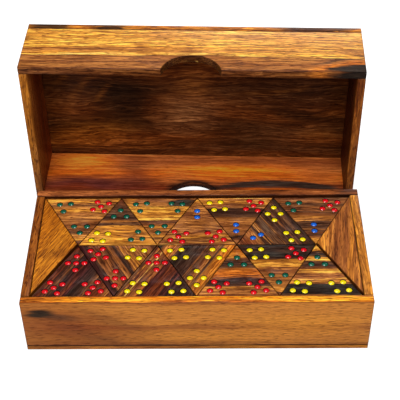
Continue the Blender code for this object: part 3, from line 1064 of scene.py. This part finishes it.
@dataclass
class Lid:
    """The lid, standing on a long wall and turned a little."""

    finisher: Finisher
    nodes: dict[str, bpy.types.Object]
    body: str = "lid"
    notch_radius: float = 0.0213
    notch_centre_out: float = 0.0043
    notch_steps: int = 48
    notch_shade: float = 0.75
    rim_shade: float = 0.30
    right_rim_shade: float = 0.28
    # Painted shade on the inside face of the lid's right end wall.
    right_inner_shade: float = 0.7

    def _own_box(self, node: str) -> tuple[Vector, Vector]:
        """A node's lowest and highest corners in the lid's own, unturned axes."""
        back = Matrix.Rotation(-LID_TURN, 3, "Z")
        corners = [back @ vertex.co for vertex in self.nodes[node].data.vertices]
        low = Vector([min(c[axis] for c in corners) for axis in range(3)])
        high = Vector([max(c[axis] for c in corners) for axis in range(3)])
        return low, high

    def _finish(self, node: str, bm: Mesh, grain: Grain) -> None:
        """Eases a board, turns it into place and makes it a piece."""
        Carpenter.ease(bm)
        bmesh.ops.rotate(bm, matrix=Matrix.Rotation(LID_TURN, 3, "Z"), verts=bm.verts)
        wood = self.finisher.wood(WOODS[node], grain.turned(LID_TURN))
        Carpenter.piece(node + "_board", bm, [wood], self.body, [node], Slot.LID)

    def _notched(self, low: Vector, high: Vector, middle: float) -> Mesh:
        """A long wall with the thumb notch in the middle of its open edge."""
        spread = math.asin(self.notch_centre_out / self.notch_radius)
        outline = [(low.x, low.y)]
        for step in range(self.notch_steps + 1):
            angle = math.pi - spread - (math.pi - 2 * spread) * step / self.notch_steps
            x = middle + self.notch_radius * math.cos(angle)
            y = low.y + self.notch_radius * math.sin(angle) - self.notch_centre_out
            outline.append((x, y))
        outline += [(high.x, low.y), (high.x, high.y), (low.x, high.y)]
        bm = Carpenter.raised(outline, low.z, high.z)
        for face in Carpenter.sides(bm):
            centre = face.calc_center_median()
            if abs(centre.x - middle) < self.notch_radius - NEAR and centre.y < high.y - MM:
                Carpenter.shade(bm, [face], self.notch_shade)
        return bm

    def build(self) -> None:
        """Makes the five boards."""
        low, high = self._own_box("lid_upper_wall")
        middle, rim = (low.x + high.x) / 2, low.y
        for node in ("lid_upper_wall", "lid_lower_wall"):
            low, high = self._own_box(node)
            bm = self._notched(low, high, (low.x + high.x) / 2)
            Carpenter.shade(bm, Carpenter.facing(bm, (0, -1, 0)), self.rim_shade)
            self._finish(node, bm, Grain(*LYING, (middle, rim, high.z)))
        for node in ("lid_left_wall", "lid_right_wall"):
            low, high = self._own_box(node)
            bm = Carpenter.cuboid(low, high)
            right = low.x > middle
            # Painted shade on the right end wall's inner face, inside the lid.
            Carpenter.shade(bm, Carpenter.facing(bm, (-1, 0, 0)), self.right_inner_shade if right else 0.0)
            front = Carpenter.facing(bm, (0, -1, 0))
            Carpenter.shade(bm, front, self.right_rim_shade if right else self.rim_shade)
            self._finish(node, bm, Grain(*UPRIGHT, (low.x, rim, 0.0)))
        low, high = self._own_box("lid_top")
        self._finish("lid_top", Carpenter.cuboid(low, high), Grain(*STANDING, (middle, low.y, 0.0)))


@dataclass(frozen=True)
class Place:
    """Where a tile lies, its height and side, and whether its point faces back."""

    x: float
    y: float
    foot: float
    height: float
    side: float
    upright: bool


@dataclass
class TileSet:
    """The 56 tiles."""

    finisher: Finisher
    nodes: dict[str, bpy.types.Object]
    pip_radius: float = 0.0020
    pip_lip: float = 0.00028
    pip_wall: float = 0.00055
    pip_dome: float = 0.00048
    pip_sides: int = 20
    pip_steps: tuple[float, ...] = (0.75, 0.5, 0.25)
    # How dark the painted shade is on the wood of each pip hollow's lip and wall.
    pip_shade: float = 0.95
    group_from_corner: float = 0.0158
    group_length: float = 0.0063
    group_width: float = 0.0045
    five_width: float = 0.0055
    ease: float = 0.00025
    # Painted shade: the darker eased edges and sides of the tiles stand in for the shade in the gaps between
    # them.
    edge_dark: float = 0.45
    side_shade: float = 0.5
    half_height: float = 31.0
    band_reach: float = 26.0
    fine: float = 0.80
    pores: float = 1.0
    first_seed: float = 20.0
    seed_steps: Triple = (1.7, 10.3, 0.61)
    first_draw: int = 3
    draw_base: int = 7

    def build(self) -> None:
        """Makes every tile, the lowest layer's tiles in place of its two joined rows."""
        places = {self._numbers(node): self._place(node) for node in self.nodes if node.startswith("tile_")}
        for numbers, place in sorted(places.items()):
            node = "tile_" + "_".join(map(str, numbers))
            self._tile(TOP_ORDER.get(numbers, numbers), place, node, [node])
        lowest = [n for n in itertools.combinations_with_replacement(range(6), 3) if n not in places]
        lowest.sort(key=lambda n: (sum(n), n))
        second = min(place.foot for place in places.values())
        above = [place for place in places.values() if place.foot == second]
        above.sort(key=lambda place: (place.y < 0, place.x))
        done: set[str] = set()
        for numbers, place in zip(lowest, above):
            row = "lowest_back_row" if place.y > 0 else "lowest_front_row"
            low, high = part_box(row)
            lowered = replace(place, foot=low.z, height=high.z - low.z)
            self._tile(numbers, lowered, row, [] if row in done else [row])
            done.add(row)

    @staticmethod
    def _numbers(node: str) -> Numbers:
        """The three numbers in a tile node's name."""
        return tuple(int(part) for part in node.split("_")[1:])

    def _place(self, node: str) -> Place:
        """Reads a tile's place from its CAD node."""
        low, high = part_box(node)
        side, middle = high.x - low.x, (low.x + high.x) / 2
        on_middle = [v.co.y for v in self.nodes[node].data.vertices if abs(v.co.x - middle) < NEAR]
        upright = max(on_middle) > high.y - NEAR
        rise = side / (2 * SQRT3)
        centre = low.y + rise if upright else high.y - rise
        return Place(middle, centre, low.z, high.z - low.z, side, upright)

    def _figure(self, numbers: Numbers) -> TileFigure:
        """The figure of a tile: chosen for those on top, and drawn from a few woods below."""
        if numbers in TOP_FIGURES:
            return TOP_FIGURES[numbers]
        draw = random.Random(sum(n * self.draw_base**i for i, n in enumerate(numbers)) + self.first_draw)
        tones = list(draw.choice(LOWER_TONES))
        draw.shuffle(tones)
        edges = sorted(draw.uniform(-self.band_reach, self.band_reach) for _ in range(len(tones) - 2))
        steps = tuple(zip([-self.half_height, *edges, self.half_height], tones))
        return TileFigure(draw.choice(list(Cut)), steps)

    def _pips(self, numbers: Numbers, side: float) -> Iterator[tuple[int, Vector]]:
        """Each pip's number and centre, on a tile whose point faces +Y."""
        reach = side / SQRT3 - self.group_from_corner
        for number, degrees in zip(numbers, CORNERS):
            turn = Matrix.Rotation(math.radians(degrees), 2)
            for towards_corner, aside in self._pattern(number):
                yield number, turn @ Vector((reach + towards_corner, aside))

    def _pattern(self, number: int) -> list[tuple[float, float]]:
        """Where a number's pips lie: (towards the corner, across), from their group's centre."""
        long, near, far = self.group_length, self.group_width, self.five_width
        return {
            0: [],
            1: [(0.0, 0.0)],
            2: [(long / 2, 0.0), (-long / 2, 0.0)],
            3: [(long * 2 / 3, 0.0), (-long / 3, near), (-long / 3, -near)],
            4: [(long, 0.0), (0.0, near), (0.0, -near), (-long, 0.0)],
            5: [(0.0, 0.0), (long, 0.0), (0.0, far), (0.0, -far), (-long, 0.0)],
        }[number]

    def _tile(self, numbers: Numbers, place: Place, body: str, nodes: list[str]) -> None:
        """Makes one tile: an eased prism with a painted hollow for each pip.

        Args:
            numbers: the numbers at its point, left corner and right corner, as read from the front.
            place: where it lies.
            body: the CAD body that it moves with.
            nodes: the CAD nodes that it replaces.
        """
        name = "domino_" + "_".join(map(str, numbers))
        point, left, right = numbers
        local = (point, left, right) if place.upright else (point, right, left)
        used = sorted({number for number in local if number})
        bm = self._prism(place)
        self._cut_pips(bm, local, used, place)
        if not place.upright:
            bmesh.ops.rotate(bm, matrix=Matrix.Rotation(math.pi, 3, "Z"), verts=bm.verts)
        bmesh.ops.translate(bm, vec=(place.x, place.y, place.foot), verts=bm.verts)
        figure = self._figure(numbers)
        plank = Plank(
            name + "_wood",
            figure.bands,
            figure.marks,
            waviness=figure.waviness,
            fine=self.fine,
            pores=self.pores,
            flecks=figure.flecks,
            seed=sum((step * n for step, n in zip(self.seed_steps, numbers)), self.first_seed),
        )
        grain = Grain.level(math.radians(figure.cut.value), (place.x, place.y, place.foot + place.height))
        materials = [self.finisher.wood(plank, grain)] + [self.finisher.paint(PAINTS[n]) for n in used]
        Carpenter.piece(name, bm, materials, body, nodes, Slot.TILE)

    def _prism(self, place: Place) -> Mesh:
        """A tile's eased prism about its own centre, its point towards +Y, on its foot."""
        radius = place.side / SQRT3
        turns = [math.radians(degrees) for degrees in CORNERS]
        outline = [(radius * math.cos(turn), radius * math.sin(turn)) for turn in turns]
        bm = Carpenter.raised(outline, 0.0, place.height)
        # Painted shade on the tile's upright sides.
        Carpenter.shade(bm, Carpenter.sides(bm), self.side_shade)
        Carpenter.ease(bm, self.ease, self.edge_dark)
        return bm

    def _cut_pips(self, bm: Mesh, numbers: Numbers, used: list[int], place: Place) -> None:
        """Cuts and paints the hollows of a tile's pips in its top.

        Args:
            bm: the tile's prism.
            numbers: the numbers at +Y, lower left and lower right.
            used: the numbers that have a paint, in the order of their materials.
            place: the tile's size.
        """
        top = max(Carpenter.facing(bm, UP), key=lambda face: face.calc_area())
        rim = list(top.edges)
        bmesh.ops.delete(bm, geom=[top], context="FACES_ONLY")
        rings = []
        for number, centre in self._pips(numbers, place.side):
            at = Vector((centre.x, centre.y, place.height))
            ring = bmesh.ops.create_circle(
                bm,
                cap_ends=False,
                segments=self.pip_sides,
                radius=self.pip_radius + self.pip_lip,
                matrix=Matrix.Translation(at),
            )["verts"]
            edges = list({edge for vert in ring for edge in vert.link_edges})
            rim += edges
            rings.append((at, edges, 1 + used.index(number)))
        bmesh.ops.triangle_fill(bm, edges=rim, use_beauty=True, normal=UP)
        for at, edges, index in rings:
            self._hollow(bm, edges, at, index)
        bmesh.ops.recalc_face_normals(bm, faces=bm.faces)

    def _hollow(self, bm: Mesh, edges: list[bmesh.types.BMEdge], centre: Vector, index: int) -> None:
        """Sinks one ring of edges to a hollow whose lip and wall are darkened with painted shade, filled
        with a low dome of enamel.
        """
        steps = [(self.pip_radius, -self.pip_lip / 2, 0), (self.pip_radius, -self.pip_wall, 0)]
        for step in self.pip_steps:
            steps.append((self.pip_radius * step, self.pip_dome * (1.0 - step**2) - self.pip_wall, index))
        for reach, height, material in steps:
            made = bmesh.ops.extrude_edge_only(bm, edges=edges)["geom"]
            faces = [item for item in made if isinstance(item, Face)]
            verts = [item for item in made if isinstance(item, bmesh.types.BMVert)]
            edges = [e for e in made if isinstance(e, bmesh.types.BMEdge) and set(e.verts) <= set(verts)]
            for vert in verts:
                outward = Vector((vert.co.x - centre.x, vert.co.y - centre.y, 0.0)).normalized()
                vert.co = centre + outward * reach + Vector((0.0, 0.0, height))
            for face in faces:
                face.material_index = material
            # The wood of the lip and wall gets painted shade.
            if material == 0:
                Carpenter.shade(bm, faces, self.pip_shade)
        cap = bmesh.ops.contextual_create(bm, geom=edges)["faces"]
        poked = bmesh.ops.poke(bm, faces=cap, offset=0.0)
        for vert in poked["verts"]:
            vert.co = centre + Vector((0.0, 0.0, self.pip_dome - self.pip_wall))
        for face in poked["faces"]:
            face.material_index = index


@dataclass(frozen=True)
class Lamp:
    """A square area light that faces a point and isn't seen itself."""

    name: str
    place: Triple
    aim: Triple
    size: float
    power: float

    def build(self) -> None:
        """Makes the light."""
        light = bpy.data.lights.new(self.name, "AREA")
        light.shape = "SQUARE"
        light.size = self.size
        light.energy = self.power
        made = bpy.data.objects.new(self.name, light)
        made.location = self.place
        direction = Vector(self.aim) - Vector(self.place)
        made.rotation_euler = direction.to_track_quat("-Z", "Y").to_euler()
        made.visible_camera = False
        bpy.context.scene.collection.objects.link(made)


@dataclass
class Studio:
    """A pale floor, soft light and the camera."""

    camera_place: Triple = (0.00831, -0.50338, 0.55798)
    yaw: float = -0.011638
    pitch: float = -0.752394
    roll: float = -0.013356
    lens: float = 95.33
    sensor: float = 36.0
    clip_start: float = 0.01
    floor_reach: float = 6.0
    floor_height: float = -0.0003
    floor_colour: Triple = (0.55, 0.55, 0.55)
    floor_glow: float = 0.75
    surround: float = 0.18
    lamps: tuple[Lamp, ...] = (
        Lamp("overhead", (0.0, 0.32, 1.15), (0.0, 0.03, 0.0), 0.30, 5.6),
        Lamp("key", (-0.12, -0.86, 1.23), (0.0, 0.03, 0.03), 1.0, 17.5),
        Lamp("rear", (0.30, 1.35, 0.34), (0.0, 0.10, 0.06), 0.80, 9.0),
    )

    def build(self) -> None:
        """Makes the stage."""
        self._floor()
        self._world()
        for lamp in self.lamps:
            lamp.build()
        self._camera()

    def _floor(self) -> None:
        """A wide floor that looks nearly white, with a faint shadow where the object stands."""
        bm = bmesh.new()
        bmesh.ops.create_grid(bm, x_segments=1, y_segments=1, size=self.floor_reach)
        mesh = bpy.data.meshes.new("floor")
        bm.to_mesh(mesh)
        bm.free()
        floor = bpy.data.objects.new("floor", mesh)
        floor.location.z = self.floor_height
        bpy.context.scene.collection.objects.link(floor)
        material = bpy.data.materials.new("pale_floor")
        material.use_nodes = True
        graph = Graph(material.node_tree)
        seen = graph.node("ShaderNodeLightPath").outputs["Is Camera Ray"]
        plain = graph.node("ShaderNodeBsdfDiffuse", {"Color": (*self.floor_colour, 1.0)}).outputs[0]
        glow = graph.node("ShaderNodeEmission", {"Color": WHITE, "Strength": self.floor_glow}).outputs[0]
        lit = graph.node("ShaderNodeAddShader", {0: plain, 1: glow}).outputs[0]
        mixed = graph.node("ShaderNodeMixShader", {0: seen, 1: plain, 2: lit}).outputs[0]
        graph.feed(material.node_tree.nodes["Material Output"].inputs["Surface"], mixed)
        mesh.materials.append(material)

    def _world(self) -> None:
        """An even white surround, dimmer in its light than it looks."""
        world = bpy.data.worlds.new("studio")
        bpy.context.scene.world = world
        world.use_nodes = True
        graph = Graph(world.node_tree)
        background = world.node_tree.nodes["Background"]
        seen = graph.node("ShaderNodeLightPath").outputs["Is Camera Ray"]
        graph.feed(background.inputs["Color"], WHITE)
        graph.feed(background.inputs["Strength"], graph.remap(seen, 0.0, 1.0, self.surround, 1.0))
        view = bpy.context.scene.view_settings
        view.view_transform = "Standard"
        view.look = "None"

    def _camera(self) -> None:
        """The camera, a little above the lid and almost straight in front."""
        level = math.cos(self.pitch)
        forward = Vector((math.sin(self.yaw) * level, math.cos(self.yaw) * level, math.sin(self.pitch)))
        right = forward.cross(Vector(UP)).normalized()
        up = right.cross(forward)
        turned_right = math.cos(self.roll) * right + math.sin(self.roll) * up
        turned_up = -math.sin(self.roll) * right + math.cos(self.roll) * up
        matrix = Matrix((turned_right, turned_up, -forward)).transposed().to_4x4()
        matrix.translation = Vector(self.camera_place)
        data = bpy.data.cameras.new("camera")
        data.sensor_width = self.sensor
        data.lens = self.lens
        data.clip_start = self.clip_start
        camera = bpy.data.objects.new("camera", data)
        camera.matrix_world = matrix
        bpy.context.scene.collection.objects.link(camera)
        bpy.context.scene.camera = camera


def main() -> None:
    """Builds the looks around the frame."""
    logging.basicConfig(level=logging.INFO, format="%(message)s")
    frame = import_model()
    Studio().build()
    finisher = Finisher()
    Tray(finisher).build()
    Lid(finisher, frame["nodes"]).build()
    TileSet(finisher, frame["nodes"]).build()


if __name__ == "__main__":
    main()
